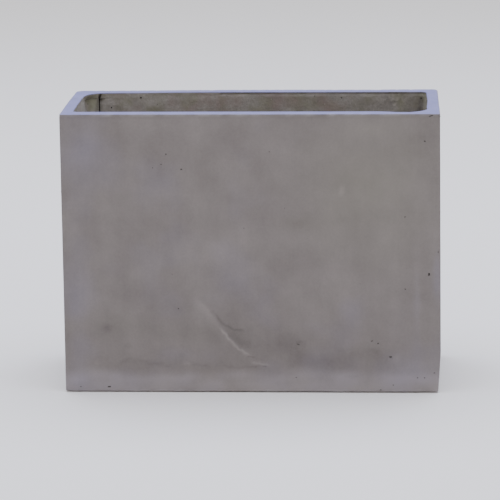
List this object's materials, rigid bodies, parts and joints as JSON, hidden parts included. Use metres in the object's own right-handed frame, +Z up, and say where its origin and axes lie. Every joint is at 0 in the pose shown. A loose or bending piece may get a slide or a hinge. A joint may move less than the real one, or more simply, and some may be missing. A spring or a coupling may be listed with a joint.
{
  "type": "planter box",
  "caption": "Long rectangular trough planter in fibre cement with layered walls, an open top, and plugged drain holes in its floor.",
  "frame": {"origin": "on the ground, under the middle of the box", "axes": "+X along the length, -Y out of the front face, +Z up"},
  "size_m": [0.6, 0.25, 0.45],
  "materials": {
    "face_cement": "mould-cast matt",
    "backing_cement": "rough hand-laid",
    "fillet_mortar": "rough trowelled",
    "glass_mesh": "open woven glass-fibre scrim",
    "sleeve_plastic": "extruded grey PVC",
    "plug_rubber": "moulded black",
    "pad_rubber": "die-cut black"
  },
  "bodies": {
    "planter": {"face_shell": "face_cement", "base_slab": "backing_cement", "floor_bead": "fillet_mortar", "corner_fillet_front_left": "fillet_mortar", "corner_fillet_back_left": "fillet_mortar", "corner_fillet_front_right": "fillet_mortar", "corner_fillet_back_right": "fillet_mortar", "backing_front": "backing_cement", "backing_back": "backing_cement", "backing_left": "backing_cement", "backing_right": "backing_cement", "glass_mesh_front": "glass_mesh", "glass_mesh_back": "glass_mesh", "glass_mesh_left": "glass_mesh", "glass_mesh_right": "glass_mesh", "glass_mesh_floor": "glass_mesh", "drain_sleeve_left": "sleeve_plastic", "drain_sleeve_right": "sleeve_plastic", "foot_pad_front_left": "pad_rubber", "foot_pad_back_left": "pad_rubber", "foot_pad_front_right": "pad_rubber", "foot_pad_back_right": "pad_rubber"},
    "plug_left": {"drain_plug_left": "plug_rubber"},
    "plug_right": {"drain_plug_right": "plug_rubber"}
  },
  "joints": [
    {"name": "plug_left_lift", "type": "slide", "parent": "planter", "child": "plug_left", "axis": [0, 0, 1], "range_m": [0, 0.46]},
    {"name": "plug_right_lift", "type": "slide", "parent": "planter", "child": "plug_right", "axis": [0, 0, 1], "range_m": [0, 0.46]}
  ]
}
